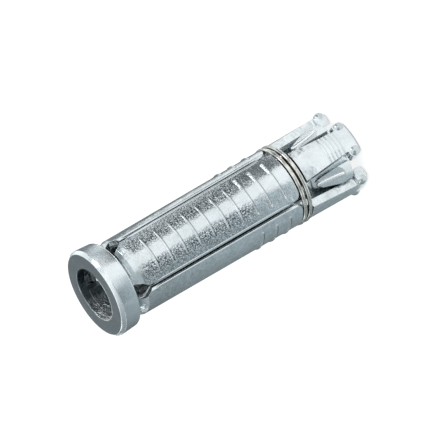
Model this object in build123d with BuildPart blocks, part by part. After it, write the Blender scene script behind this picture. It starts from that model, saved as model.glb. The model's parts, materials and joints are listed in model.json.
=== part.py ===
from build123d import *
import os
from math import cos, radians, sin, tan

os.makedirs("parts", exist_ok=True)

# Shield anchor for an M8 bolt: four pressed quarter shells stand round a
# threaded cone nut, a ferrule holds their necks and a wire ring their tails.
# The origin is the centre of the shell tips, and +Z runs to the ferrule's mouth.

# ---------------------------------------------------------------- driving sizes, mm
LENGTH = 50.0           # shell tips to the face of the ferrule
BOLT_HOLE_R = 4.5       # clearance hole for an M8 bolt
SHEET = 1.22            # wall of the pressed shells
SLIT = 0.5              # gap between neighbouring shells
OUTSIDE = 9.0           # a radius clear of every part, for cutting
WALL_ARC = 96           # degrees of wall made before a shell is cut to its quarter
OVERLAP = 0.05          # how far a cut runs past the face it trims

# ---------------------------------------------------------------- ferrule
FERRULE_R = 7.6
FERRULE_FACE_R = 7.05   # where the flat face turns into the rounded rim
RIM_ROUND = FERRULE_R - FERRULE_FACE_R
FERRULE_WAIST_R = 7.36  # outer radius in front of the back edge's rounding
FERRULE_BACK = 46.2     # level of the crimped back edge
BACK_ROUND = 0.7        # height of the back edge's rounding
BACK_R = 6.85
FERRULE_FLOOR = 48.75   # inner side of the front wall
FERRULE_INNER_R = 6.25
CRIMP_R = 5.75
CRIMP = 0.6             # height of the crimped edge's bore
CRIMP_LEAN = 0.4        # height of the cone between crimp and inner wall

# ---------------------------------------------------------------- shells
TIP_R = 6.92            # outer radius at the tips
TAIL_R = 6.76           # outer radius beside the ring
MOUTH_R = 6.58          # outer radius below the necks
NECK_R = 5.5
LIP_R = 6.1
LIP = 1.2               # height of the lip caught in the ferrule
LIP_LEAN = 0.3          # height of the lip's sloping underside
LIP_PLAY = 0.05
LIP_TOP = FERRULE_FLOOR - LIP_PLAY
BODY_END = 13.45        # level where the fingers leave the shell's body
BODY_TOP = 44.5
NECK_BEND = 1.0         # height of the joggle into the neck
BEND_INSIDE = 0.5       # the inner wall bends this far below the outer one
BEND_BEVEL = 0.35

FINGER_ROOT = 2.88      # half widths of a finger, straight across
FINGER_NECK = 2.0
FINGER_NECK_ROUND = 0.3
EAR = 3.08
EAR_DEPTH = 2.4
EAR_WALL = 1.7          # the T end is upset to this thickness
EAR_LEAN = 0.4
TIP_ROUND = 0.98        # rounding of the T end's outer corners
ARM_ROUND = 0.72        # rounding of its inner corners
TIP_BEVEL = 0.6         # bevels of the tip's outer and inner edges
TIP_INNER_BEVEL = 0.45

NOTCH = 1.35            # half width of the notch between two necks
NOTCH_START = 43.0
NOTCH_FULL = 44.4
SHOULDER_ROUND = 1.5
EDGE_BEVEL = 0.38       # rolled edges along the slits

RIBS = 3
RIB_HEIGHT = 0.17
RIB_FOOT = 0.6
RIB_ROOT = 0.1          # depth of a rib's foot inside the wall
RIB_PITCH = 2.75
RIB_HALF_ANGLE = 31
FIRST_RIB = BODY_END + 2.6

# ---------------------------------------------------------------- wire ring
WIRE_D = 0.85
WIRE_PITCH = 0.97
RING_Z = 12.35          # level between the two turns
RING_R = 6.58           # radius of the wire's centre line
RING_CROSS = 24.0       # half angle of the cross-over between the turns
RING_CROSS_AT = 135.0   # azimuth of the cross-over
RING_TAIL = 4.0         # angle from the cross-over to each end of the wire
GROOVE_R = 6.12
GROOVE_HALF = 0.95      # half height of the groove's floor
GROOVE_FLANK = 0.15
BEAD_WALL = 0.9         # wall left behind the groove
BEAD_FLANK = 0.15

# ---------------------------------------------------------------- cone nut
NUT_SEAT = 0.05         # gap between the T ends and the nut
NUT_BACK = EAR_DEPTH + NUT_SEAT
NUT_LENGTH = 7.0
NUT_R = 6.05
NUT_BEVEL = 0.22
NUT_LAND = 1.4          # full-radius rim behind the tapered flats
FLAT_ANGLE = 12.0
CHANNEL = 2.98          # half width of the way left for a finger
CORE_R = 5.35
CORE_LAND = 0.6
CORE_ANGLE = 8.5
NOSE_ANGLE = 35.0
NOSE_R = 4.25
THREAD_MINOR_R = 3.3235
THREAD_MAJOR_R = 4.0
LEAD_IN = 0.5           # depth of the thread's countersink at the back
NOSE_LEAD_IN = 0.4
NUT_RIB = 0.3           # half width of the rib that follows a slit
NUT_RIB_RISE = 0.4      # the rib's height above the flat at the nose

QUARTERS = {"shell_right": 0, "shell_back": 90, "shell_left": 180, "shell_front": 270}
SLITS = (45, 135, 225, 315)


def outer_wall(z):
    """Outer radius of a shell's body at level z."""
    share = (z - BODY_END) / (BODY_TOP - BODY_END)
    return TAIL_R + (MOUTH_R - TAIL_R) * share


def radial_section(azimuth):
    """Plane through the axis, with local x outward at the azimuth and local y up."""
    turn = radians(azimuth)
    return Plane((0, 0, 0), x_dir=(cos(turn), sin(turn), 0), z_dir=(sin(turn), -cos(turn), 0))


def facing(azimuth):
    """Plane on the axis seen from outside at the azimuth, with local y up."""
    turn = radians(azimuth)
    return Plane((0, 0, 0), x_dir=(-sin(turn), cos(turn), 0), z_dir=(cos(turn), sin(turn), 0))


def round_corners(sketch, radius, corners):
    """Round the sketch's corners that lie at the given points."""
    for corner in corners:
        fillet(sketch.vertices().sort_by_distance(corner)[0], radius)


def bevel_corners(sketch, length, corners):
    """Chamfer the sketch's corners that lie at the given points."""
    for corner in corners:
        chamfer(sketch.vertices().sort_by_distance(corner)[0], length)


def slit_sector(level):
    """Outline of a quarter of the shield at a level, its outer corners bevelled."""
    half_slit = SLIT / 2
    crown = outer_wall(level)
    outline = (
        (half_slit, crown - EDGE_BEVEL),
        (half_slit + EDGE_BEVEL + OVERLAP, crown + OVERLAP),
        (half_slit, 2 * TIP_R),
    )
    corners = [
        [((along + across) / 2**0.5, side * (along - across) / 2**0.5) for across, along in outline]
        for side in (-1, 1)
    ]
    with BuildSketch(Plane.XY.offset(level)) as sector:
        with BuildLine():
            Polyline((half_slit * 2**0.5, 0), *corners[0], *reversed(corners[1]), close=True)
        make_face()
    return sector.sketch


def rib_section(level):
    """Triangular section of one transverse rib at the start of its sweep, its foot in the wall."""
    spread = RIB_FOOT / 2 * (1 + RIB_ROOT / RIB_HEIGHT)
    wall_r = outer_wall(level)
    with BuildSketch(radial_section(-RIB_HALF_ANGLE)) as section:
        with BuildLine():
            Polyline(
                (wall_r - RIB_ROOT, level - spread),
                (wall_r + RIB_HEIGHT, level),
                (wall_r - RIB_ROOT, level + spread),
                close=True,
            )
        make_face()
    return section.sketch


# One pressed quarter shell centred on +X: neck, body, ring groove, finger and T end.
with BuildPart() as shell:
    # The wall's section, bent in at the neck, grooved for the ring and thickened at the tip.
    groove_low, groove_high = RING_Z - GROOVE_HALF, RING_Z + GROOVE_HALF
    inner_r = TAIL_R - SHEET
    bead_r = GROOVE_R - BEAD_WALL
    with BuildSketch(radial_section(-WALL_ARC / 2)) as wall:
        with BuildLine():
            Polyline(
                (TIP_R, 0),
                (TAIL_R, groove_low - GROOVE_FLANK),
                (GROOVE_R, groove_low),
                (GROOVE_R, groove_high),
                (TAIL_R, groove_high + GROOVE_FLANK),
                (MOUTH_R, BODY_TOP),
                (NECK_R, BODY_TOP + NECK_BEND),
                (NECK_R, LIP_TOP - LIP - LIP_LEAN),
                (LIP_R, LIP_TOP - LIP),
                (LIP_R, LIP_TOP),
                (NECK_R - SHEET, LIP_TOP),
                (NECK_R - SHEET, BODY_TOP + NECK_BEND - BEND_INSIDE),
                (MOUTH_R - SHEET, BODY_TOP - BEND_INSIDE),
                (inner_r, groove_high + BEAD_FLANK),
                (bead_r, groove_high),
                (bead_r, groove_low),
                (inner_r, groove_low - BEAD_FLANK),
                (inner_r, EAR_DEPTH),
                (TIP_R - EAR_WALL, EAR_DEPTH - EAR_LEAN),
                (TIP_R - EAR_WALL, 0),
                close=True,
            )
        make_face()
        bevel_corners(wall, TIP_BEVEL, [(TIP_R, 0)])
        bevel_corners(wall, TIP_INNER_BEVEL, [(TIP_R - EAR_WALL, 0)])
        bevel_corners(wall, BEND_BEVEL, [(MOUTH_R, BODY_TOP)])
    revolve(axis=Axis.Z, revolution_arc=WALL_ARC)

    # A quarter of the circle, less half a slit on each side, with bevelled outer edges.
    loft([slit_sector(0), slit_sector(LENGTH)], ruled=True, mode=Mode.INTERSECT)

    # The blank's outline over the tail: a tapered finger that ends in a T.
    with BuildSketch(Plane.YZ) as blank:
        with BuildLine():
            Polyline(
                (EAR, 0),
                (EAR, EAR_DEPTH),
                (FINGER_NECK, EAR_DEPTH),
                (FINGER_ROOT, BODY_END),
                (OUTSIDE, BODY_END),
                (OUTSIDE, LENGTH),
                (-OUTSIDE, LENGTH),
                (-OUTSIDE, BODY_END),
                (-FINGER_ROOT, BODY_END),
                (-FINGER_NECK, EAR_DEPTH),
                (-EAR, EAR_DEPTH),
                (-EAR, 0),
                close=True,
            )
        make_face()
        for side in (-1, 1):
            round_corners(blank, TIP_ROUND, [(side * EAR, 0)])
            round_corners(blank, ARM_ROUND, [(side * EAR, EAR_DEPTH)])
            round_corners(blank, FINGER_NECK_ROUND, [(side * FINGER_NECK, EAR_DEPTH)])
    extrude(amount=OUTSIDE, mode=Mode.INTERSECT)

    for azimuth in (-45, 45):
        # Two shells' chamfered necks leave a five-sided notch below the ferrule.
        with BuildSketch(facing(azimuth)):
            with BuildLine():
                Polyline(
                    (-NOTCH, LENGTH),
                    (-NOTCH, NOTCH_FULL),
                    (-SLIT / 2, NOTCH_START),
                    (SLIT / 2, NOTCH_START),
                    (NOTCH, NOTCH_FULL),
                    (NOTCH, LENGTH),
                    close=True,
                )
            make_face()
        extrude(amount=OUTSIDE, mode=Mode.SUBTRACT)
        # The corners beside the ring are rounded off.
        with BuildSketch(facing(azimuth)):
            corner_t = SLIT / 2 + SHOULDER_ROUND
            corner_z = BODY_END + SHOULDER_ROUND
            lean = SHOULDER_ROUND * (1 - cos(radians(45)))
            below = BODY_END - OVERLAP
            with BuildLine():
                Polyline((-corner_t, BODY_END), (-corner_t, below), (corner_t, below), (corner_t, BODY_END))
                ThreePointArc((corner_t, BODY_END), (SLIT / 2 + lean, BODY_END + lean), (SLIT / 2, corner_z))
                Line((SLIT / 2, corner_z), (-SLIT / 2, corner_z))
                ThreePointArc((-SLIT / 2, corner_z), (-SLIT / 2 - lean, BODY_END + lean), (-corner_t, BODY_END))
            make_face()
        extrude(amount=OUTSIDE, mode=Mode.SUBTRACT)

    # Transverse ribs stand on the body beside the ring.
    for index in range(RIBS):
        revolve(rib_section(FIRST_RIB + index * RIB_PITCH), axis=Axis.Z, revolution_arc=2 * RIB_HALF_ANGLE)

for name, azimuth in QUARTERS.items():
    piece = shell.part.rotate(Axis.Z, azimuth)
    piece.label = name
    export_step(piece, f"parts/{name}.step")

# The ferrule: a drawn cup with a rounded rim, crimped in behind the shells' lips.
with BuildPart() as ferrule:
    with BuildSketch(Plane.XZ) as cup:
        rim = [
            (FERRULE_FACE_R + RIM_ROUND * sin(radians(turn)), LENGTH - RIM_ROUND * (1 - cos(radians(turn))))
            for turn in (0, 30, 60, 90)
        ]
        back_in = FERRULE_WAIST_R - BACK_R
        with BuildLine():
            Polyline(
                (BOLT_HOLE_R, FERRULE_FLOOR),
                (BOLT_HOLE_R, LENGTH),
                *rim,
                (FERRULE_WAIST_R, FERRULE_BACK + BACK_ROUND),
                (FERRULE_WAIST_R - 0.3 * back_in, FERRULE_BACK + 0.3 * BACK_ROUND),
                (BACK_R, FERRULE_BACK),
                (CRIMP_R, FERRULE_BACK),
                (CRIMP_R, FERRULE_BACK + CRIMP),
                (FERRULE_INNER_R, FERRULE_BACK + CRIMP + CRIMP_LEAN),
                (FERRULE_INNER_R, FERRULE_FLOOR),
                close=True,
            )
        make_face()
    revolve(axis=Axis.Z)
ferrule.part.label = "ferrule"
export_step(ferrule.part, "parts/ferrule.step")


def on_ring(azimuth, level):
    """Point of the wire's centre line."""
    return (RING_R * cos(radians(azimuth)), RING_R * sin(radians(azimuth)), level)


def along_ring(azimuth):
    """Direction of the wire at the azimuth, anticlockwise from above."""
    return (-sin(radians(azimuth)), cos(radians(azimuth)), 0)


# The wire ring: two flat turns side by side, joined by a short cross-over at the back.
with BuildPart() as wire_ring:
    low, high = RING_Z - WIRE_PITCH / 2, RING_Z + WIRE_PITCH / 2
    before, after = RING_CROSS_AT - RING_CROSS, RING_CROSS_AT + RING_CROSS
    opposite = RING_CROSS_AT + 180
    with BuildLine() as centre_line:
        ThreePointArc(on_ring(after + RING_TAIL, low), on_ring(opposite, low), on_ring(before, low))
        Spline(
            on_ring(before, low),
            on_ring(RING_CROSS_AT, RING_Z),
            on_ring(after, high),
            tangents=[along_ring(before), along_ring(after)],
        )
        ThreePointArc(on_ring(after, high), on_ring(opposite, high), on_ring(before - RING_TAIL, high))
    with BuildSketch(Plane(centre_line.wires()[0] @ 0, z_dir=centre_line.wires()[0] % 0)):
        RegularPolygon(WIRE_D / 2, 6)
    sweep(path=centre_line.wires()[0])
wire_ring.part.label = "wire_ring"
export_step(wire_ring.part, "parts/wire_ring.step")

# The cone nut: a threaded core, four lobes with tapered flats between the fingers, and
# a rib on each flat that follows the slit when the nut is drawn in.
nut_top = NUT_BACK + NUT_LENGTH
flat_start = NUT_BACK + NUT_LAND
flat_fall = (nut_top - flat_start) * tan(radians(FLAT_ANGLE))
core_fall = (nut_top - NUT_BACK - CORE_LAND) * tan(radians(CORE_ANGLE))
with BuildPart() as cone_nut:
    with BuildSketch(Plane.XY.offset(NUT_BACK)):
        Circle(NUT_R)
    extrude(amount=NUT_LENGTH)
    chamfer(cone_nut.edges().filter_by(GeomType.CIRCLE).sort_by(Axis.Z)[0], NUT_BEVEL)
    for azimuth in SLITS:
        with BuildSketch(radial_section(azimuth)):
            with BuildLine():
                Polyline(
                    (NUT_R, flat_start),
                    (OUTSIDE, flat_start),
                    (OUTSIDE, nut_top),
                    (NUT_R - flat_fall, nut_top),
                    close=True,
                )
            make_face()
        extrude(amount=NUT_R, both=True, mode=Mode.SUBTRACT)
    for azimuth in QUARTERS.values():
        with BuildSketch(facing(azimuth)):
            with Locations((0, LENGTH / 2)):
                Rectangle(2 * CHANNEL, LENGTH)
        extrude(amount=OUTSIDE, mode=Mode.SUBTRACT)
    for azimuth in SLITS:
        with BuildSketch(radial_section(azimuth)):
            with BuildLine():
                Polyline(
                    (NOSE_R, flat_start),
                    (NUT_R, flat_start),
                    (NUT_R - flat_fall + NUT_RIB_RISE, nut_top),
                    (NOSE_R, nut_top),
                    close=True,
                )
            make_face()
        extrude(amount=NUT_RIB, both=True)
    with BuildSketch(Plane.XZ):
        with BuildLine():
            Polyline(
                (THREAD_MINOR_R, NUT_BACK),
                (CORE_R, NUT_BACK),
                (CORE_R, NUT_BACK + CORE_LAND),
                (CORE_R - core_fall, nut_top),
                (THREAD_MINOR_R, nut_top),
                close=True,
            )
        make_face()
    revolve(axis=Axis.Z)
    with BuildSketch(Plane.XZ):
        with BuildLine():
            Polyline(
                (NOSE_R, LENGTH),
                (NOSE_R, nut_top),
                (OUTSIDE, nut_top - (OUTSIDE - NOSE_R) / tan(radians(NOSE_ANGLE))),
                (OUTSIDE, LENGTH),
                close=True,
            )
        make_face()
    revolve(axis=Axis.Z, mode=Mode.SUBTRACT)
    with BuildSketch(Plane.XZ):
        with BuildLine():
            Polyline(
                (0, NUT_BACK),
                (THREAD_MAJOR_R, NUT_BACK),
                (THREAD_MINOR_R, NUT_BACK + LEAD_IN),
                (THREAD_MINOR_R, nut_top - NOSE_LEAD_IN),
                (THREAD_MAJOR_R, nut_top),
                (0, nut_top),
                close=True,
            )
        make_face()
    revolve(axis=Axis.Z, mode=Mode.SUBTRACT)
cone_nut.part.label = "cone_nut"
export_step(cone_nut.part, "parts/cone_nut.step")
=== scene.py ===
import json
from math import cos, degrees, hypot, pi, radians, sin, tan

import bmesh
import bpy
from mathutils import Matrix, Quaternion, Vector
from mathutils.bvhtree import BVHTree


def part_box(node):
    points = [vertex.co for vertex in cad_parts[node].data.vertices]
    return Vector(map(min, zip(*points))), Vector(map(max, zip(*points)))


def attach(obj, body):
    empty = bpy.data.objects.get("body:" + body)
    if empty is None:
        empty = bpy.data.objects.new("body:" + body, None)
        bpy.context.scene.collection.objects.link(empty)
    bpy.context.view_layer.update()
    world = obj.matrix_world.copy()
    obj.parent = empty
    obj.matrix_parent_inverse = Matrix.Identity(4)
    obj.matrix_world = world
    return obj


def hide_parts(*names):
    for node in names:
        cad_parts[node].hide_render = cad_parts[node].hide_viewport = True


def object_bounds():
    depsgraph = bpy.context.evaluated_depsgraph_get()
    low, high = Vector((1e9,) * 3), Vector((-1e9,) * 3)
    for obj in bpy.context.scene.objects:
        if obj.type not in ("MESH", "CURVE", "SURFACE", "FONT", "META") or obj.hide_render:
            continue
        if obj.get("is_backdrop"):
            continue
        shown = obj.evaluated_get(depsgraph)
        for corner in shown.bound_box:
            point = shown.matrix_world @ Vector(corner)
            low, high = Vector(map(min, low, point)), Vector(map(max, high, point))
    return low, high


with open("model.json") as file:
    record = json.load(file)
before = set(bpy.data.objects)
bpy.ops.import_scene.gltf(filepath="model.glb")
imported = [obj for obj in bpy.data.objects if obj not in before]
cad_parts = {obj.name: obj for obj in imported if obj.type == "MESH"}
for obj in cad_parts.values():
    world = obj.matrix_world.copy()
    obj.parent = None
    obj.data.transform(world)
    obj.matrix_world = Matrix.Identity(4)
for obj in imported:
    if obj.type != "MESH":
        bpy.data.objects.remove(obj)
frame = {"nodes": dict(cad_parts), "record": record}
cad_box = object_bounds()

bl_info = {
    "name": "Shield Anchor",
    "version": (1, 0, 0),
    "blender": (4, 5, 0),
    "location": "View3D > Sidebar > Anchor",
    "description": "Dresses an expanding shield anchor: plating, wire ring, thread, and a studio",
    "category": "Object",
}

MM = 0.001
MOUTH_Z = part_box("ferrule")[1].z
TIP_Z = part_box("shell_front")[0].z

# The four shells and the azimuth of each one's middle, in degrees.
SHELLS = {"shell_right": 0, "shell_back": 90, "shell_left": 180, "shell_front": 270}
HALF_SHELL = 45
# How far from a slit, in degrees, a shell's full wall is met.
BESIDE_SLIT = 9

# Places on the shells, in millimetres from the tips or from the axis, which the finishes follow.
ANCHOR_LENGTH = 50.0
SHELL_OUTSIDE = 6.6
CUP_OUTSIDE = 5.5
BODY_START = 14.0
BODY_END = 43.2
BORE_START = 38.0
FIRST_RIB = 16.05
RIB_SPACING = 2.75
PRESSED_RIBS_END = 22.5
PANEL_RIBS_END = 42.0
# From a rib to the line of painted shade beside it.
RIB_SHADE_OFFSET = 0.25
SCORED_START = 2.9
SCORED_END = 6.2
SCORE_SPACING = 2 * pi / 9
# Where the finger's wall is met to seat the knobs at the ends of its T.
TEE_LEVEL = 1.5

# Glowing grey fans on the floor, hidden from the camera, that paint the dark and light bands the
# metal mirrors: name, azimuths and tones of both sides, and the distances in millimetres from the
# axis between which the fan lies.
REFLECTION_FANS = (
    ("reflection_fan_right", 306, 358, 0.15, 0.15, 30, 90),
    ("reflection_fan_right_far", 340, 378, 0.75, 0.26, 96, 400),
    ("reflection_fan_back_far", 378, 438, 0.26, 0.22, 96, 400),
    ("reflection_fan_front", 203, 262, 0.52, 0.62, 30, 95),
    ("reflection_fan_front_far", 203, 244, 0.17, 0.20, 95, 400),
    ("reflection_fan_left", 78, 203, 0.16, 0.56, 9, 98),
    ("reflection_fan_left_far", 78, 203, 0.14, 0.36, 98, 400),
    ("reflection_fan_back", 36, 78, 0.20, 0.14, 9, 96),
)
# How much of a fan's tone is red, green and blue.
FAN_TINT = (0.86, 1.0, 1.05)
FAN_LIFT = 0.05 * MM

# Soft lamps: name, place, side of the square and power, in metres and watts.
LAMPS = (
    ("key_lamp", (0.26, -0.16, 0.22), 0.14, 0.22),
    ("back_lamp", (-0.12, 0.28, 0.24), 0.18, 0.16),
)
FLOOR_HALF = 2.0
# The floor's white, of which the studio's glow is the part that no shadow dims.
FLOOR_WHITE = 1.12
# How far the camera's frame is shifted sideways and up, as parts of its width.
FRAME_SHIFT = (-0.0004, 0.0042)


def air_band(*stops):
    """Stops of a ramp round the horizon, from azimuths in degrees between -180 and 180."""
    return tuple((azimuth / 360 + 0.5, level) for azimuth, level in stops)


# Brightness of the soft light round the anchor, near the horizon and half way up.
LOW_AIR = air_band(
    (-180, 0.45), (-160, 0.35), (-100, 0.35), (-96, 0.95), (-57, 0.95), (-53, 0.12), (-4, 0.12),
    (4, 0.95), (46, 0.95), (56, 0.18), (110, 0.18), (160, 0.35), (180, 0.45),
)
MIDDLE_AIR = air_band(
    (-180, 0.4), (-110, 0.4), (-96, 0.9), (-57, 0.9), (-50, 0.25), (-10, 0.3), (0, 0.8),
    (38, 0.8), (46, 0.13), (112, 0.13), (150, 0.3), (180, 0.4),
)


# ---------------------------------------------------------------- settings


def length(name, description, default, soft_max=0.05):
    """A size property in metres."""
    return bpy.props.FloatProperty(
        name=name, description=description, default=default, min=0.0, soft_max=soft_max,
        precision=5, subtype="DISTANCE", unit="LENGTH",
    )


def turn(name, description, default):
    """An angle property."""
    return bpy.props.FloatProperty(
        name=name, description=description, default=radians(default), subtype="ANGLE",
        unit="ROTATION",
    )


def share(name, description, default, high=1.0):
    """A plain factor."""
    return bpy.props.FloatProperty(
        name=name, description=description, default=default, min=0.0, max=high, subtype="FACTOR",
    )


def colour(name, description, default):
    """A colour property."""
    return bpy.props.FloatVectorProperty(
        name=name, description=description, default=default, size=3, min=0.0, max=1.0,
        subtype="COLOR",
    )


class FerruleSizes(bpy.types.PropertyGroup):
    """Sizes of the drawn cup at the mouth."""

    hole_radius: length("Hole Radius", "Radius of the bolt hole", 4.5 * MM)
    edge_round: length("Edge Round", "Rounding of the bolt hole's edge", 0.12 * MM)
    face_radius: length("Face Radius", "Radius of the flat front face", 7.12 * MM)
    rim_round: length("Rim Round", "Rounding between the face and the rim's slope", 0.24 * MM)
    rim_drop: length("Rim Drop", "Height of the slope between the face and the wall", 0.62 * MM)
    wall_round: length("Wall Round", "Rounding between the rim's slope and the wall", 0.384 * MM)
    front_wall: length("Front Wall", "Thickness of the front wall", 1.25 * MM)
    taper: length("Taper", "How much smaller the wall's radius is at the back", 0.24 * MM)
    back_round: length("Back Round", "Rounding of the crimped back edge", 0.6 * MM)
    crimp_radius: length("Crimp Radius", "Inner radius of the crimped back edge", 5.75 * MM)
    crimp_round: length("Crimp Round", "Rounding of the crimp's inner edge", 0.12 * MM)
    crimp_height: length("Crimp Height", "Height of the crimp's bore", 0.6 * MM)
    crimp_lean: length("Crimp Lean", "Height of the cone above the crimp's bore", 0.4 * MM)
    inner_radius: length("Inner Radius", "Radius inside the cup, round the lips", 6.25 * MM)


class PanelSizes(bpy.types.PropertyGroup):
    """Sizes of the plain ribs up the front shell and of the rolled edges along the slits."""

    start: length(
        "First Rib", "Level of the first rib above those pressed in every shell", 24.3 * MM)
    end: length("Last Rib", "Level of the last rib", 40.8 * MM)
    rib_pitch: length("Rib Pitch", "Distance between the ribs", 2.75 * MM)
    rib_width: length("Rib Width", "Width of a rib", 0.34 * MM)
    rib_height: length("Rib Height", "Height of a rib above the wall", 0.15 * MM)
    half_angle: turn("Half Angle", "Half of the angle that a rib spans", 28)
    edge_roll: length("Edge Roll", "Radius of the rolled edges along the slits", 0.27 * MM)
    edge_inset: length(
        "Edge Inset", "From the middle of a slit to the middle of a rolled edge", 0.53 * MM)
    edge_start: length("Edge Start", "Level at which the rolled edges start", 15.1 * MM)
    edge_length: length("Edge Length", "Length of the rolled edges", 27.6 * MM)


class KnobSizes(bpy.types.PropertyGroup):
    """Sizes of the upset knobs at the two ends of each finger's T."""

    half_width: length("Half Width", "Half of a knob's size along the T", 0.85 * MM)
    half_depth: length("Half Depth", "Half of a knob's size through the wall", 0.98 * MM)
    half_height: length("Half Height", "Half of a knob's size along the anchor", 0.95 * MM)
    level: length("Level", "From the tips to the middle of a knob", 1.28 * MM)
    reach: length("Reach", "From the finger's middle to the far end of a knob", 3.14 * MM)
    stand_out: length("Stand Out", "How far a knob stands out from the finger's wall", 0.1 * MM)
    fullness: share(
        "Fullness", "Power that fills out the knob's sides; 2 is an ellipsoid", 2.15, 6.0)


class RingSizes(bpy.types.PropertyGroup):
    """Sizes of the wound wire ring."""

    wire: length("Wire", "Diameter of the wire", 0.74 * MM)
    pitch: length("Pitch", "Distance between the two turns", 1.0 * MM)
    sink: length("Sink", "How far the wire stays inside the ring's full radius", 0.06 * MM)
    cross_at: turn("Crossing Place", "Azimuth at which one turn passes to the other", 135)
    crossing: turn("Crossing", "Half of the angle in which one turn passes to the other", 24)
    tail: turn("Tail", "Angle from the crossing to each end of the wire", 4)
    overlap: turn("Overlap", "Angle by which a stretch of wire reaches into the next", 9)


class NutSizes(bpy.types.PropertyGroup):
    """Sizes of the nut's thread and of the rounded crests on its ribs."""

    pitch: length("Pitch", "Pitch of the thread", 1.25 * MM)
    crest: length("Crest", "Height of the thread's crest above the bore's wall", 0.13 * MM)
    thread_start: length("Thread Start", "From the nut's back to the thread", 0.75 * MM)
    thread_end: length("Thread End", "From the thread to the nut's nose", 0.65 * MM)
    rib_round: length("Rib Round", "Radius of the rounded crests on the nut's ribs", 0.4 * MM)
    rib_reach: length("Rib Reach", "From the nut's sides out to a crest's middle", 0.45 * MM)
    rib_lean: length("Rib Lean", "How much nearer the axis a crest is at the nose", 0.77 * MM)
    rib_start: length("Rib Start", "From the nut's back to a crest", 1.5 * MM)
    rib_end: length("Rib End", "From a crest to the nut's nose", 0.3 * MM)


class PlatingLook(bpy.types.PropertyGroup):
    """Colours and roughness of the plated steel and of the wire."""

    zinc: colour("Zinc", "Colour of the bright zinc", (0.775, 0.83, 0.855))
    # The colour of the painted highlight along the crests of the nut's ribs.
    stain: colour("Stain", "Colour where the zinc is duller", (0.46, 0.52, 0.53))
    crest_highlight: colour("Rubbed", "Colour where the zinc is rubbed bright", (0.93, 0.95, 0.96))
    # The colour of the painted glints low in the bore.
    bore_glint: colour("Worn", "Colour of the worn patches in the bore", (0.96, 0.98, 0.99))
    # The colour of painted shade: hemmed-in corners, slit sides, beside ribs, inside the shells and
    # bore, and the pebbling's specks.
    painted_shade: colour("Crevice", "Colour deep in the gaps", (0.036, 0.054, 0.066))
    wire: colour("Wire", "Colour of the spring wire", (0.76, 0.775, 0.74))
    dull_wire: colour("Dull Wire", "Colour where the wire is duller", (0.42, 0.41, 0.38))
    roughness: share("Roughness", "Roughness of the bright zinc", 0.17)


class StudioSet(bpy.types.PropertyGroup):
    """The floor's and the world's light, and the camera."""

    floor: share("Floor", "Brightness of the floor", 0.8)
    glow: share("Glow", "Part of the floor's white that no shadow dims", 0.8)
    ambient: share("Ambient", "Strength of the world's light", 1.3, 3.0)
    distance: length("Camera Distance", "From the camera to the anchor's middle", 800 * MM, 1.0)
    azimuth: turn("Azimuth", "Camera's direction round the anchor", -12.3)
    elevation: turn("Elevation", "Camera's height above the horizon", 23.5)
    roll: turn("Roll", "Roll of the camera about its line of sight", -120.2)
    lens: bpy.props.FloatProperty(
        name="Lens", description="Focal length in millimetres", default=410, min=20, max=600,
        unit="CAMERA",
    )


class AnchorSettings(bpy.types.PropertyGroup):
    """Everything a user would change."""

    ferrule: bpy.props.PointerProperty(type=FerruleSizes)
    panel: bpy.props.PointerProperty(type=PanelSizes)
    knobs: bpy.props.PointerProperty(type=KnobSizes)
    ring: bpy.props.PointerProperty(type=RingSizes)
    nut: bpy.props.PointerProperty(type=NutSizes)
    look: bpy.props.PointerProperty(type=PlatingLook)
    studio: bpy.props.PointerProperty(type=StudioSet)


# ---------------------------------------------------------------- meshes


def mesh_piece(name, points, faces, sharp=40):
    """A new object from points and faces, smooth but for edges sharper than the angle."""
    mesh = bpy.data.meshes.new(name)
    mesh.from_pydata([tuple(p) for p in points], [], faces)
    even = bmesh.new()
    even.from_mesh(mesh)
    bmesh.ops.recalc_face_normals(even, faces=even.faces)
    even.to_mesh(mesh)
    even.free()
    return placed(name, mesh, sharp)


def placed(name, mesh, sharp):
    """An object of a mesh in the scene, smooth but for edges sharper than the angle."""
    mesh.shade_smooth()
    mesh.set_sharp_from_angle(angle=radians(sharp))
    piece = bpy.data.objects.new(name, mesh)
    bpy.context.scene.collection.objects.link(piece)
    return piece


def joined(name, pieces):
    """Several pieces as one object."""
    whole = bmesh.new()
    for piece in pieces:
        whole.from_mesh(piece.data)
    mesh = bpy.data.meshes.new(name)
    whole.to_mesh(mesh)
    whole.free()
    for piece in pieces:
        bpy.data.objects.remove(piece)
    return placed(name, mesh, 60)


def polar(radius, azimuth, level):
    """A point at a radius and azimuth (in radians) on a level."""
    return Vector((radius * cos(azimuth), radius * sin(azimuth), level))


def rounded(corners, steps=6):
    """An outline's points from (r, z, radius) corners, each with an arc of its radius."""
    points = []
    count = len(corners)
    for index, (r, z, radius) in enumerate(corners):
        here = Vector((r, z))
        if radius == 0:
            points.append(here)
            continue
        back = (Vector(corners[index - 1][:2]) - here).normalized()
        ahead = (Vector(corners[(index + 1) % count][:2]) - here).normalized()
        half = back.angle(ahead) / 2
        reach = radius / tan(half)
        centre = here + (back + ahead).normalized() * (radius / sin(half))
        first = here + back * reach - centre
        sweep = first.angle_signed(here + ahead * reach - centre)
        for step in range(steps + 1):
            part = -sweep * step / steps
            spoke = Vector((
                first.x * cos(part) - first.y * sin(part),
                first.x * sin(part) + first.y * cos(part),
            ))
            points.append(centre + spoke)
    return points


def loft(rows, sides):
    """Faces between closed rows of points, each row having the same number of sides."""
    faces = []
    for row in range(rows - 1):
        here, there = row * sides, (row + 1) * sides
        for side in range(sides):
            n = (side + 1) % sides
            faces.append((here + side, there + side, there + n, here + n))
    return faces


def capped(rows, sides):
    """Faces of a loft with both of its ends closed."""
    last = (rows - 1) * sides
    return loft(rows, sides) + [tuple(range(sides)), tuple(range(last, last + sides))]


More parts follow.
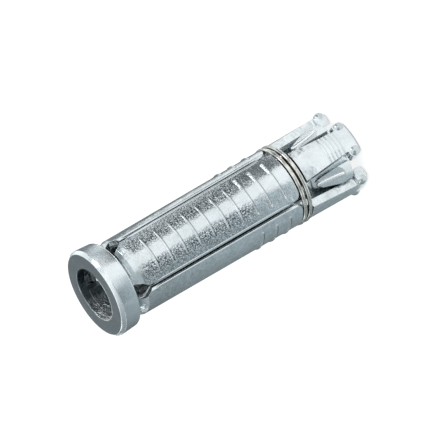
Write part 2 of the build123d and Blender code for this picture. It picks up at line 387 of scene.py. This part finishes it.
def lathe(name, outline, segments):
    """A closed outline of (r, z) points turned about the axis."""
    count = len(outline)
    points = [polar(r, 2 * pi * s / segments, z) for s in range(segments) for r, z in outline]
    faces = loft(segments, count)
    last = (segments - 1) * count
    for k in range(count):
        n = (k + 1) % count
        faces.append((last + k, k, n, last + n))
    return mesh_piece(name, points, faces)


def tube(name, line, radii, sides=14):
    """A tube along a list of points, with its own radius at each, closed at both ends."""
    up = Vector((0, 0, 1))
    points = []
    for index, point in enumerate(line):
        along = (line[min(index + 1, len(line) - 1)] - line[max(index - 1, 0)]).normalized()
        out = along.cross(up).normalized()
        rise = out.cross(along)
        for side in range(sides):
            a = 2 * pi * side / sides
            points.append(point + (out * cos(a) + rise * sin(a)) * radii[index])
    return mesh_piece(name, points, capped(len(line), sides), sharp=60)


def wall_probe(node):
    """A function that gives the outer wall's radius of a CAD node at an azimuth and a level."""
    tree = BVHTree.FromObject(frame["nodes"][node], bpy.context.evaluated_depsgraph_get())
    clear = 20 * MM

    def radius(azimuth, level):
        start = polar(clear, azimuth, level)
        hit = tree.ray_cast(start, Vector((-cos(azimuth), -sin(azimuth), 0)))[0]
        if hit is None:
            raise RuntimeError(f"{node} has no wall at level {level}")
        return hypot(hit.x, hit.y)

    return radius


def coat(piece, material):
    """Give a piece one material over all its faces."""
    if not piece.material_slots:
        piece.data.materials.append(material)
    for slot in piece.material_slots:
        slot.material = material


def fit(piece, body, material):
    """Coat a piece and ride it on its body."""
    coat(piece, material)
    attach(piece, body)


# ---------------------------------------------------------------- materials


class Sock:
    """A shader socket that Python's arithmetic works on."""

    def __init__(self, finish, socket):
        self.finish = finish
        self.socket = socket

    def maths(self, operation, first, second=0.0):
        """The value of a Math node."""
        node = self.finish.add("ShaderNodeMath", {"operation": operation}, {0: first, 1: second})
        return node.out(0)

    def __add__(self, other):
        return self.maths("ADD", self, other)

    def __sub__(self, other):
        return self.maths("SUBTRACT", self, other)

    def __rsub__(self, other):
        return self.maths("SUBTRACT", other, self)

    def __mul__(self, other):
        return self.maths("MULTIPLY", self, other)

    def __lt__(self, other):
        return self.maths("LESS_THAN", self, other)

    def __gt__(self, other):
        return self.maths("GREATER_THAN", self, other)

    __radd__ = __add__
    __rmul__ = __mul__

    def high(self, other):
        """The larger of the two."""
        return self.maths("MAXIMUM", self, other)

    def wave(self):
        """The sine."""
        return self.maths("SINE", self)

    def size(self):
        """The value without its sign."""
        return self.maths("ABSOLUTE", self)

    def root(self):
        """The square root."""
        return self.maths("SQRT", self)

    def angle_with(self, other):
        """The angle of the point (other, self)."""
        return self.maths("ARCTAN2", self, other)


class Added:
    """A node just added, whose outputs are read by name or number."""

    def __init__(self, finish, node):
        self.finish = finish
        self.node = node

    def out(self, key):
        """An output's socket."""
        return Sock(self.finish, self.node.outputs[key])


def paint(value):
    """A colour with its fourth number, or a socket as it is."""
    return value if isinstance(value, Sock) else (*value, 1.0)


class Finish:
    """A material whose nodes are written as expressions."""

    def __init__(self, name, tree=None):
        if tree is None:
            self.material = bpy.data.materials.new(name)
            self.material.use_nodes = True
            tree = self.material.node_tree
        self.tree = tree
        self.tree.nodes.clear()

    def add(self, kind, settings=None, inputs=None):
        """A node of a kind, with its settings first and then its sockets' values or links."""
        node = self.tree.nodes.new(kind)
        for key, value in (settings or {}).items():
            if key == "stops":
                ramp = node.color_ramp.elements
                while len(ramp) < len(value):
                    ramp.new(0.5)
                for stop, (place, level) in zip(ramp, value):
                    stop.position = place
                    stop.color = (level, level, level, 1)
            else:
                setattr(node, key, value)
        for key, value in (inputs or {}).items():
            socket = node.inputs[key]
            if isinstance(value, Sock):
                self.tree.links.new(value.socket, socket)
            else:
                socket.default_value = value
        return Added(self, node)

    def mix(self, factor, first, second):
        """One colour passing to another."""
        chosen = {"data_type": "RGBA"}
        inputs = {"Factor": factor, 6: paint(first), 7: paint(second)}
        return self.add("ShaderNodeMix", chosen, inputs).out(2)

    def noise(self, place, scale, detail=3.0, roughness=0.5, distortion=0.0):
        """Soft noise from 0 to 1 over a place."""
        inputs = {"Vector": place, "Scale": scale, "Detail": detail, "Roughness": roughness,
                  "Distortion": distortion}
        return self.add("ShaderNodeTexNoise", {}, inputs).out(0)

    def ramp(self, value, *stops):
        """A value passed through (place, level) stops."""
        return self.add("ShaderNodeValToRGB", {"stops": stops}, {"Fac": value}).out(0)

    def grey(self, red, green=None, blue=None):
        """A colour of three values, or of one for all three."""
        inputs = {0: red, 1: red if green is None else green, 2: red if blue is None else blue}
        return self.add("ShaderNodeCombineColor", {}, inputs).out(0)

    def parts(self, vector):
        """A vector's x, y and z."""
        split = self.add("ShaderNodeSeparateXYZ", {}, {0: vector})
        return split.out(0), split.out(1), split.out(2)

    def rest_place(self):
        """The point at rest, in millimetres."""
        where = self.add("ShaderNodeTexCoord").out("Object")
        inputs = {0: where, "Scale": 1 / MM}
        return self.add("ShaderNodeVectorMath", {"operation": "SCALE"}, inputs).out(0)

    def corners(self, reach, dark, light):
        """How open the surface is within a reach, from 0 at a dark level to 1 at a light one."""
        inputs = {"Distance": reach}
        around = self.add("ShaderNodeAmbientOcclusion", {"samples": 8}, inputs).out("AO")
        return self.ramp(around, (dark, 0.0), (light, 1.0))

    def relief(self, height, **more):
        """The normal of a relief whose height is in millimetres."""
        inputs = {"Strength": 1.0, "Distance": MM, "Height": height, **more}
        return self.add("ShaderNodeBump", {}, inputs).out(0)

    def surface(self, inputs):
        """The finish's own shader, to its output."""
        shader = self.add("ShaderNodeBsdfPrincipled", {}, inputs).out(0)
        self.add("ShaderNodeOutputMaterial", {}, {"Surface": shader})
        return self.material

    def glowing(self, base, light, roughness):
        """A plain surface without gloss that also gives some light of its own."""
        return self.surface({"Base Color": paint(base), "Roughness": roughness,
                             "Specular IOR Level": 0.0, "Emission Color": light,
                             "Emission Strength": 1.0})


class Zinc(Finish):
    """Bright zinc over pressed steel, clouded and with fine orange peel, to which marks are added.

    Scales are per millimetre, and heights are in millimetres.
    """

    def __init__(self, name, look, dulled=0.0):
        super().__init__(name)
        self.look = look
        self.place = self.rest_place()
        self.x, self.y, self.z = self.parts(self.place)
        self.along = self.z * (1 / ANCHOR_LENGTH)
        clouds = self.noise(self.place, 0.35, 4.0, 0.6, 0.4)
        peel = self.noise(self.place, 2.2, 3.0, 0.55)
        dull = self.ramp(clouds, (0.38, 0.0), (0.68, 1.0))
        self.grain = self.noise(self.place, 6.0, 2.0)
        self.base = self.mix(dull * 0.3 + dulled, look.zinc, look.stain)
        self.rough = look.roughness + dull * 0.1 + self.grain * 0.06
        self.height = peel * 0.012 + self.grain * 0.002

    def tint(self, amount, other):
        """Pass the colour to another by an amount."""
        self.base = self.mix(amount, self.base, other)

    def round_waves(self, phase):
        """Four waves round the axis."""
        return (self.y.angle_with(self.x) * 4.0 + phase).wave()

    def hollow(self, outside):
        """Painted shade inside the shells and the bore, lighter towards -x, with painted glints low
        in the bore on the -x side, and painted shade on the slits' sides.
        """
        out = (self.x * self.x + self.y * self.y).root()
        inside = self.ramp(out * (1 / outside), (0.84, 1.0), (0.87, 0.0))
        inside = inside * (self.z > BODY_START - 1)
        # Painted shade inside, by level along the anchor, made lighter towards -x.
        inner_shade = self.ramp(self.along, (0.6, 0.5), (0.72, 0.3), (0.88, 0.3), (0.91, 0.62))
        inner_shade = inner_shade + self.x * 0.1
        # Painted shade on the sides of the slits along the body.
        slit_shade = self.ramp(self.round_waves(-pi / 2), (0.975, 0.0), (0.992, 0.8))
        slit_shade = slit_shade * (self.z > BODY_START) * (self.z < BODY_END)
        self.tint((inside * inner_shade).high(slit_shade), self.look.painted_shade)
        # Painted glints: bright patches low in the bore, on the -x side only.
        bore_glint = self.ramp(self.noise(self.place, 0.7, 3.0, 0.6), (0.4, 0.0), (0.55, 1.0))
        bore_glint = bore_glint * (self.x * -0.5 - 0.5)
        self.tint(inside * bore_glint * (self.z > BORE_START), self.look.bore_glint)
        self.rough = self.rough + inside * 0.08
        dents = self.noise(self.place, 1.5, 3.0, 0.6)
        self.height = self.height + dents * (self.x * -0.16 + 0.25) * inside

    def pebble(self):
        """The front panel's pebbled ground with specks of painted shade, smooth along its middle.
        """
        aside = self.x.angle_with(self.y * -1.0).size()
        panel = self.ramp(self.along, (0.265, 0.0), (0.285, 0.25), (0.42, 0.4), (0.46, 1.0),
                          (0.86, 1.0), (0.885, 0.0))
        panel = panel * self.ramp(aside, (radians(7), 0.12), (radians(14), 1.0))
        cells = self.add("ShaderNodeTexVoronoi", {"feature": "SMOOTH_F1"},
                         {"Vector": self.place, "Scale": 3.4, "Smoothness": 0.2}).out(0)
        coarse = self.noise(self.place, 2.6, 2.0, 0.6)
        waves = self.noise(self.place, 0.45, 2.0)
        self.height = self.height + (coarse * 0.05 - cells * 0.07) * panel + waves * 0.16
        # Painted shade in the pebbling: dark specks, fewer towards the panel's sides.
        shade_specks = self.ramp(self.noise(self.place, 4.2, 3.0, 0.65), (0.42, 1.0), (0.58, 0.0))
        sparse = self.ramp(aside, (radians(20), 0.95), (radians(33), 0.6))
        self.tint(shade_specks * panel * sparse, self.look.painted_shade)

    def fleck(self):
        """Dull flecks and shallow waves of a plain pressed wall."""
        flecks = self.noise(self.place, 1.4, 4.0, 0.65, 0.6)
        self.tint(self.ramp(flecks, (0.44, 0.0), (0.66, 0.6)), self.look.stain)
        self.height = self.height + self.noise(self.place, 0.8, 3.0, 0.6) * 0.08

    def shade_beside_ribs(self, end, amount):
        """Thin lines of painted shade on the ribs' tail side, up to a level."""
        beside = FIRST_RIB - RIB_SHADE_OFFSET - RIB_SPACING / 4
        ribs = ((self.z - beside) * (2 * pi / RIB_SPACING)).wave() > 0.965
        ribs = ribs * (self.z > FIRST_RIB - 1) * (self.z < end)
        # Painted shade beside each rib, kept away from the slits.
        self.tint(ribs * (self.round_waves(pi / 2) > -0.3) * amount, self.look.painted_shade)

    def score(self):
        """Fine lines pressed across the finger above its T."""
        lines = (self.z * (2 * pi / SCORE_SPACING)).wave()
        lines = lines * (self.z < SCORED_END) * (self.z > SCORED_START)
        self.height = self.height + lines * 0.025
        self.tint((lines > 0.8) * 0.45, self.look.stain)

    def brush(self, height):
        """Fine streaks round the axis."""
        around = self.y.angle_with(self.x) * 0.6
        streaks = self.add("ShaderNodeCombineXYZ", {}, {0: self.z * 8.0, 1: around}).out(0)
        self.height = self.height + self.noise(streaks, 3.0) * height

    def paint_corner_shade(self):
        """Painted shade where the surface is hemmed in."""
        self.base = self.mix(self.corners(0.8 * MM, 0.05, 0.5), self.look.painted_shade, self.base)

    def done(self):
        """The material, its edges a little rounded."""
        edge = self.add("ShaderNodeBevel", {"samples": 6}, {"Radius": 0.12 * MM}).out(0)
        normal = self.relief(self.height, Normal=edge)
        return self.surface({"Base Color": self.base, "Metallic": 1.0, "Roughness": self.rough,
                             "Normal": normal})


def ferrule_zinc(look):
    """Turned and drawn steel with fine streaks round it."""
    zinc = Zinc("ferrule_zinc", look)
    zinc.hollow(CUP_OUTSIDE)
    zinc.brush(0.004)
    zinc.paint_corner_shade()
    return zinc.done()


def shell_zinc(look):
    """The plain shells, flecked, with their few pressed ribs."""
    zinc = Zinc("shell_zinc", look)
    zinc.hollow(SHELL_OUTSIDE)
    zinc.fleck()
    # Painted shade beside the pressed ribs.
    zinc.shade_beside_ribs(PRESSED_RIBS_END, 0.75)
    zinc.paint_corner_shade()
    return zinc.done()


def panel_zinc(look):
    """The front shell with its pebbled panel, its ribs and its scored finger."""
    zinc = Zinc("panel_zinc", look)
    zinc.hollow(SHELL_OUTSIDE)
    zinc.pebble()
    # Painted shade beside the panel's ribs.
    zinc.shade_beside_ribs(PANEL_RIBS_END, 0.5)
    zinc.score()
    zinc.paint_corner_shade()
    return zinc.done()


def plain_zinc(name, look, dulled=0.0, brushed=0.0):
    """Zinc with no marks but streaks, and painted shade where it is hemmed in."""
    zinc = Zinc(name, look, dulled)
    if brushed:
        zinc.brush(brushed)
    zinc.paint_corner_shade()
    return zinc.done()


def crest_highlight_zinc(look):
    """Zinc with a painted highlight along a ridge."""
    zinc = Zinc("crest_highlight_zinc", look)
    # Painted highlight: the colour passes half way or more to the highlight's colour.
    zinc.tint(zinc.grain * 0.4 + 0.5, look.crest_highlight)
    return zinc.done()


def wire_finish(look):
    """Drawn spring wire, a little yellow, with fine draw marks."""
    finish = Finish("spring_wire_finish")
    place = finish.rest_place()
    clouds = finish.noise(place, 0.9, 3.0)
    dull = finish.ramp(clouds, (0.35, 0.0), (0.7, 1.0))
    base = finish.mix(dull, look.wire, look.dull_wire)
    # Painted shade where the wire is hemmed in.
    base = finish.mix(finish.corners(0.5 * MM, 0.3, 0.85), look.painted_shade, base)
    normal = finish.relief(finish.noise(place, 5.0) * 0.006)
    return finish.surface({"Base Color": base, "Metallic": 1.0, "Roughness": clouds * 0.1 + 0.14,
                           "Normal": normal})


# ---------------------------------------------------------------- operators


class ANCHOR_OT_ferrule(bpy.types.Operator):
    """Turn the ferrule with its rounded rim and crimped back edge"""

    bl_idname = "anchor.ferrule"
    bl_label = "Ferrule"

    def execute(self, context):
        settings = context.scene.anchor
        sizes = settings.ferrule
        low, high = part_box("ferrule")
        floor = high.z - sizes.front_wall
        crimp_top = low.z + sizes.crimp_height
        outline = rounded([
            (sizes.hole_radius, floor, 0),
            (sizes.hole_radius, high.z, sizes.edge_round),
            (sizes.face_radius, high.z, sizes.rim_round),
            (high.x, high.z - sizes.rim_drop, sizes.wall_round),
            (high.x - sizes.taper, low.z, sizes.back_round),
            (sizes.crimp_radius, low.z, sizes.crimp_round),
            (sizes.crimp_radius, crimp_top, 0),
            (sizes.inner_radius, crimp_top + sizes.crimp_lean, 0),
            (sizes.inner_radius, floor, 0),
        ], steps=12)
        cup = lathe("ferrule_cup", outline, segments=192)
        fit(cup, "ferrule", ferrule_zinc(settings.look))
        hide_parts("ferrule")
        return {"FINISHED"}


class ANCHOR_OT_shells(bpy.types.Operator):
    """Plate the four pressed shells, roll their edges and raise the front one's plain ribs"""

    bl_idname = "anchor.shells"
    bl_label = "Pressed Shells"

    def execute(self, context):
        settings = context.scene.anchor
        panel = settings.panel
        plain = shell_zinc(settings.look)
        embossed = panel_zinc(settings.look)
        rolled = plain_zinc("rolled_zinc", settings.look)
        for node in SHELLS:
            coat(frame["nodes"][node], embossed if node == "shell_front" else plain)
        azimuth = radians(SHELLS["shell_front"])
        wall = wall_probe("shell_front")
        count = round((panel.end - panel.start) / panel.rib_pitch) + 1
        levels = [panel.start + k * panel.rib_pitch for k in range(count)]
        ribs = joined("panel_ribs", [self.rib(panel, wall, azimuth, level) for level in levels])
        fit(ribs, "shell_front", plain)
        for node, turned in SHELLS.items():
            wall = wall_probe(node)
            sides = [self.rolled_edge(panel, wall, radians(turned), side) for side in (-1, 1)]
            edges = joined(node.replace("shell", "rolled_edges"), sides)
            fit(edges, node, rolled)
        return {"FINISHED"}

    def rib(self, panel, wall, azimuth, level, steps=24):
        """One raised rib across the panel, sunk a little in the wall and thinned at its ends."""
        least = 0.02 * MM
        sunk = panel.rib_width / 2 - panel.rib_height
        line, radii = [], []
        for step in range(steps + 1):
            part = step / steps * 2 - 1
            along = azimuth + part * panel.half_angle
            line.append(polar(wall(along, level) - sunk, along, level))
            radii.append(panel.rib_width / 2 * (1 - part**8) + least)
        return tube("rib", line, radii, sides=16)

    def rolled_edge(self, panel, wall, azimuth, side, steps=30):
        """The rolled edge of a shell beside a slit, from its shoulder to its notch."""
        slit = azimuth + side * radians(HALF_SHELL)
        beside = azimuth + side * radians(HALF_SHELL - BESIDE_SLIT)
        out = Vector((cos(slit), sin(slit), 0))
        aside = Vector((sin(slit), -cos(slit), 0)) * side * panel.edge_inset
        sunk = panel.edge_roll * 0.75
        line, radii = [], []
        for step in range(steps + 1):
            part = step / steps
            level = panel.edge_start + part * panel.edge_length
            line.append(out * (wall(beside, level) - sunk) + aside + Vector((0, 0, level)))
            radii.append(panel.edge_roll * (1 - abs(2 * part - 1) ** 24 * 0.8))
        return tube("edge", line, radii, sides=16)


class ANCHOR_OT_knobs(bpy.types.Operator):
    """Upset a rounded knob at both ends of each finger's T"""

    bl_idname = "anchor.knobs"
    bl_label = "T Knobs"

    def execute(self, context):
        settings = context.scene.anchor
        sizes = settings.knobs
        finish = plain_zinc("knob_zinc", settings.look, dulled=0.6)
        wall = wall_probe("shell_front")
        finger = wall(radians(SHELLS["shell_front"]), TIP_Z + TEE_LEVEL * MM)
        outer = finger + sizes.stand_out
        for node, azimuth in SHELLS.items():
            pair = [self.knob(sizes, radians(azimuth), side, outer) for side in (-1, 1)]
            knobs = joined(node.replace("shell", "tee_knobs"), pair)
            fit(knobs, node, finish)
        return {"FINISHED"}

    def knob(self, sizes, azimuth, side, outer, rings=24, sides=32):
        """One knob, its rings strung along the T."""
        out = Vector((cos(azimuth), sin(azimuth), 0))
        along = Vector((-sin(azimuth), cos(azimuth), 0))
        centre = out * (outer - sizes.half_depth) + along * side * (sizes.reach - sizes.half_width)
        centre.z = TIP_Z + sizes.level
        power = 2 / sizes.fullness

        def full(value):
            return abs(value) ** power * (1 if value > 0 else -1)

        points = []
        for ring in range(1, rings):
            a = pi * ring / rings
            for k in range(sides):
                b = 2 * pi * k / sides
                points.append(
                    centre + along * sizes.half_width * full(cos(a))
                    + out * sizes.half_depth * full(sin(a)) * full(cos(b))
                    + Vector((0, 0, sizes.half_height * full(sin(a)) * full(sin(b))))
                )
        return mesh_piece("knob", points, capped(rings - 1, sides), sharp=60)


class ANCHOR_OT_ring(bpy.types.Operator):
    """Wind the wire ring as four stretches, each of which rides on its own shell"""

    bl_idname = "anchor.ring"
    bl_label = "Wire Ring"

    def execute(self, context):
        settings = context.scene.anchor
        sizes = settings.ring
        low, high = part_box("wire_ring")
        middle = (low.z + high.z) / 2
        radius = high.x - sizes.wire / 2 - sizes.sink
        finish = wire_finish(settings.look)
        wire_start = sizes.crossing + sizes.tail
        wire_end = 4 * pi - wire_start

        def place(angle):
            passed = (angle - 2 * pi + sizes.crossing) / (2 * sizes.crossing)
            passed = min(max(passed, 0), 1)
            rise = passed * passed * (3 - 2 * passed) - 0.5
            return polar(radius, sizes.cross_at + angle, middle + rise * sizes.pitch)

        stretches = []
        for node, azimuth in SHELLS.items():
            ahead = azimuth - HALF_SHELL - degrees(sizes.cross_at)
            first = radians(round(ahead, 3) % 360)
            turns = []
            for lap in (0, 2 * pi):
                begin = max(first + lap, wire_start)
                end = min(first + lap + 2 * radians(HALF_SHELL), wire_end)
                turns.append(self.stretch(sizes, place, begin, end, end < wire_end))
            wire = joined(node.replace("shell", "ring_wire"), turns)
            fit(wire, node, finish)
            stretches.append(wire)
        for wire in stretches:
            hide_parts("wire_ring")
        return {"FINISHED"}

    def stretch(self, sizes, place, begin, end, carries_on):
        """One stretch of wire; where it carries on, a thinner end reaches into the next."""
        full = sizes.wire / 2
        step, apart = radians(2), radians(0.3)
        count = round((end - begin) / step)
        line = [place(begin + (end - begin) * k / count) for k in range(count + 1)]
        radii = [full] * len(line)
        if carries_on:
            for k in range(6):
                line.append(place(end + apart + sizes.overlap * k / 5))
                radii.append(full * 0.97)
        return tube("wire", line, radii)


class ANCHOR_OT_nut(bpy.types.Operator):
    """Plate the cone nut, round the crests of its ribs and cut the turns of its thread"""

    bl_idname = "anchor.nut"
    bl_label = "Cone Nut"

    def execute(self, context):
        settings = context.scene.anchor
        finish = plain_zinc("nut_zinc", settings.look, brushed=0.003)
        coat(frame["nodes"]["cone_nut"], finish)
        crests = self.crests(settings.nut)
        # The crests carry a painted highlight.
        fit(crests, "cone_nut", crest_highlight_zinc(settings.look))
        fit(self.thread(settings.nut), "cone_nut", finish)
        return {"FINISHED"}

    def crests(self, sizes, steps=20):
        """A rounded crest on each of the nut's four ribs, thinned at its ends."""
        low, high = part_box("cone_nut")
        radius = high.x + sizes.rib_reach
        crests = []
        for turned in SHELLS.values():
            azimuth = radians(turned + HALF_SHELL)
            back = polar(radius, azimuth, low.z + sizes.rib_start)
            nose = polar(radius - sizes.rib_lean, azimuth, high.z - sizes.rib_end)
            parts = [k / steps for k in range(steps + 1)]
            line = [back.lerp(nose, part) for part in parts]
            radii = [sizes.rib_round * (1 - abs(2 * part - 1) ** 16 * 0.6) for part in parts]
            crests.append(tube("crest", line, radii, sides=18))
        return joined("nut_rib_crests", crests)

    def thread(self, sizes, steps_a_turn=48):
        """The thread's crest, wound up the bore and fading in and out over a quarter turn."""
        low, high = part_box("cone_nut")
        bore = next(mount for mount in frame["record"]["mounts"] if mount["name"] == "nut_thread")
        wall = bore["dims"]["r_mm"] * MM
        start, end = low.z + sizes.thread_start, high.z - sizes.thread_end
        turns = (end - start) / sizes.pitch
        steps = round(turns * steps_a_turn)
        # The section of the crest: how far outside the bore's wall, and parts of the pitch.
        rooted, foot, flat = 0.05 * MM, 0.36, 0.06
        corners = ((rooted, -foot), (rooted, foot), (-sizes.crest, flat), (-sizes.crest, -flat))
        points = []
        for k in range(steps + 1):
            part = k / steps
            fade = min(part * turns * 4, (1 - part) * turns * 4, 1)
            for height, across in corners:
                r = wall + (height if height > 0 else height * fade)
                level = start + part * (end - start) + across * sizes.pitch
                points.append(polar(r, 2 * pi * turns * part, level))
        return mesh_piece("nut_thread_turns", points, capped(steps + 1, 4), sharp=30)


class ANCHOR_OT_studio(bpy.types.Operator):
    """Lay the pale floor and the glowing fans that paint the metal's reflections, hang the lamps
    and aim the camera
    """

    bl_idname = "anchor.studio"
    bl_label = "Studio"

    def execute(self, context):
        scene = context.scene
        studio = scene.anchor.studio
        scene.view_settings.view_transform = "Standard"
        signs = ((-1, -1), (1, -1), (1, 1), (-1, 1))
        corners = [(x * FLOOR_HALF, y * FLOOR_HALF, TIP_Z) for x, y in signs]
        floor = mesh_piece("studio_floor", corners, [(0, 1, 2, 3)])
        coat(floor, self.floor_finish(studio))
        floor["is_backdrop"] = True
        for flag in REFLECTION_FANS:
            self.flag(*flag)
        world = bpy.data.worlds.new("studio_world")
        scene.world = world
        world.use_nodes = True
        self.air(Finish("world", world.node_tree), studio)
        for lamp in LAMPS:
            self.lamp(*lamp)
        self.camera(scene, studio)
        return {"FINISHED"}

    def floor_finish(self, studio):
        """Pale floor, white to the camera and the metal, that keeps the anchor's shadow."""
        finish = Finish("floor_paper")
        rays = finish.add("ShaderNodeLightPath")
        seen = rays.out("Is Camera Ray").high(rays.out("Is Glossy Ray"))
        seen = seen.high(rays.out("Is Transmission Ray"))
        tone = finish.noise(finish.rest_place(), 0.02) * 0.02 + studio.floor
        level = seen * (FLOOR_WHITE - studio.glow) + (1 - seen) * tone
        return finish.glowing(finish.grey(level), finish.grey(seen * studio.glow), 0.9)

    def flag(self, name, start, end, start_tone, end_tone, near, far, steps=24):
        """A grey fan laid round the anchor, glowing with its own tone, that shows only as the metal
        mirrors it: a painted reflection.
        """
        level = TIP_Z + FAN_LIFT
        turns = [radians(start + (end - start) * k / steps) for k in range(steps + 1)]
        points = [polar(r * MM, azimuth, level) for r in (near, far) for azimuth in turns]
        count = len(turns)
        faces = [(k, k + 1, count + k + 1, count + k) for k in range(steps)]
        card = mesh_piece(name, points, faces)
        finish = Finish(name)
        x, y, _ = finish.parts(finish.rest_place())
        middle = radians((start + end) / 2)
        ahead, aside = x * cos(middle) + y * sin(middle), y * cos(middle) - x * sin(middle)
        part = aside.angle_with(ahead) * (1 / radians(end - start)) + 0.5
        tone = part * (end_tone - start_tone) + start_tone
        light = finish.grey(*(tone * tint for tint in FAN_TINT))
        # The fan glows with its tone and is hidden from all but glossy rays: a painted reflection.
        coat(card, finish.glowing((0, 0, 0), light, 1.0))
        card.visible_camera = False
        card.visible_diffuse = False
        card.visible_transmission = False
        card.visible_shadow = False
        card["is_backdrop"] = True

    def air(self, sky, studio):
        """Bands of soft light round the anchor, bluer where dim, which the camera sees as white."""
        x, y, z = sky.parts(sky.add("ShaderNodeTexCoord").out("Generated"))
        around = y.angle_with(x) * (0.5 / pi) + 0.5
        up = sky.ramp(z, (0.2, 0.0), (0.34, 1.0))
        top = sky.ramp(z, (0.72, 0.0), (0.84, 1.0))
        level = sky.ramp(around, *LOW_AIR) * (1 - up) + sky.ramp(around, *MIDDLE_AIR) * up
        level = level * (1 - top) + top
        tone = sky.grey(level * (level * 0.15 + 0.85), level, level * (1.06 - level * 0.06))
        light = sky.add("ShaderNodeBackground", {}, {"Color": tone, "Strength": studio.ambient})
        white = sky.add("ShaderNodeBackground", {}, {"Color": paint((1, 1, 1)), "Strength": 1.0})
        seen = sky.add("ShaderNodeLightPath").out("Is Camera Ray")
        air = sky.add("ShaderNodeMixShader", {}, {0: seen, 1: light.out(0), 2: white.out(0)})
        sky.add("ShaderNodeOutputWorld", {}, {"Surface": air.out(0)})

    def lamp(self, name, place, size, power):
        """A square soft lamp that faces the anchor's middle."""
        data = bpy.data.lights.new(name, "AREA")
        data.size = size
        data.energy = power
        lamp = bpy.data.objects.new(name, data)
        lamp.location = place
        aim = Vector((0, 0, MOUTH_Z / 2)) - lamp.location
        lamp.rotation_mode = "QUATERNION"
        lamp.rotation_quaternion = aim.to_track_quat("-Z", "Y")
        bpy.context.scene.collection.objects.link(lamp)

    def camera(self, scene, studio):
        """The camera, rolled so that the standing anchor lies across the view."""
        data = bpy.data.cameras.new("studio_camera")
        data.lens = studio.lens
        data.shift_x, data.shift_y = FRAME_SHIFT
        data.clip_start = 10 * MM
        camera = bpy.data.objects.new("studio_camera", data)
        a, e = studio.azimuth, studio.elevation
        back = Vector((sin(a) * cos(e), -cos(a) * cos(e), sin(e)))
        camera.location = Vector((0, 0, (MOUTH_Z + TIP_Z) / 2)) + back * studio.distance
        rolled = Quaternion((0, 0, 1), studio.roll)
        camera.rotation_mode = "QUATERNION"
        camera.rotation_quaternion = (-back).to_track_quat("-Z", "Y") @ rolled
        scene.collection.objects.link(camera)
        scene.camera = camera


class ANCHOR_PT_sidebar(bpy.types.Panel):
    """Lists the anchor's pieces in the sidebar"""

    bl_idname = "ANCHOR_PT_sidebar"
    bl_label = "Shield Anchor"
    bl_space_type = "VIEW_3D"
    bl_region_type = "UI"
    bl_category = "Anchor"

    def draw(self, context):
        settings = context.scene.anchor
        for operator, group in STEPS:
            box = self.layout.box()
            box.operator(operator.bl_idname)
            self.list_group(box, getattr(settings, group))
        box = self.layout.box()
        box.label(text="Plating and Wire")
        self.list_group(box, settings.look)

    def list_group(self, box, group):
        """A box's rows, one for each property of a group."""
        for name in group.__annotations__:
            box.prop(group, name)


STEPS = (
    (ANCHOR_OT_ferrule, "ferrule"),
    (ANCHOR_OT_shells, "panel"),
    (ANCHOR_OT_knobs, "knobs"),
    (ANCHOR_OT_ring, "ring"),
    (ANCHOR_OT_nut, "nut"),
    (ANCHOR_OT_studio, "studio"),
)
CLASSES = (
    FerruleSizes, PanelSizes, KnobSizes, RingSizes, NutSizes, PlatingLook, StudioSet,
    AnchorSettings, *(operator for operator, _ in STEPS), ANCHOR_PT_sidebar,
)


def register():
    for cls in CLASSES:
        bpy.utils.register_class(cls)
    bpy.types.Scene.anchor = bpy.props.PointerProperty(type=AnchorSettings)


def unregister():
    del bpy.types.Scene.anchor
    for cls in reversed(CLASSES):
        bpy.utils.unregister_class(cls)


def main():
    register()
    bpy.ops.anchor.ferrule()
    bpy.ops.anchor.shells()
    bpy.ops.anchor.knobs()
    bpy.ops.anchor.ring()
    bpy.ops.anchor.nut()
    bpy.ops.anchor.studio()
    boxes = {"cad": cad_box, "visual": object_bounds()}
    {name: [list(corner) for corner in box] for name, box in boxes.items()}


if __name__ == "__main__":
    main()
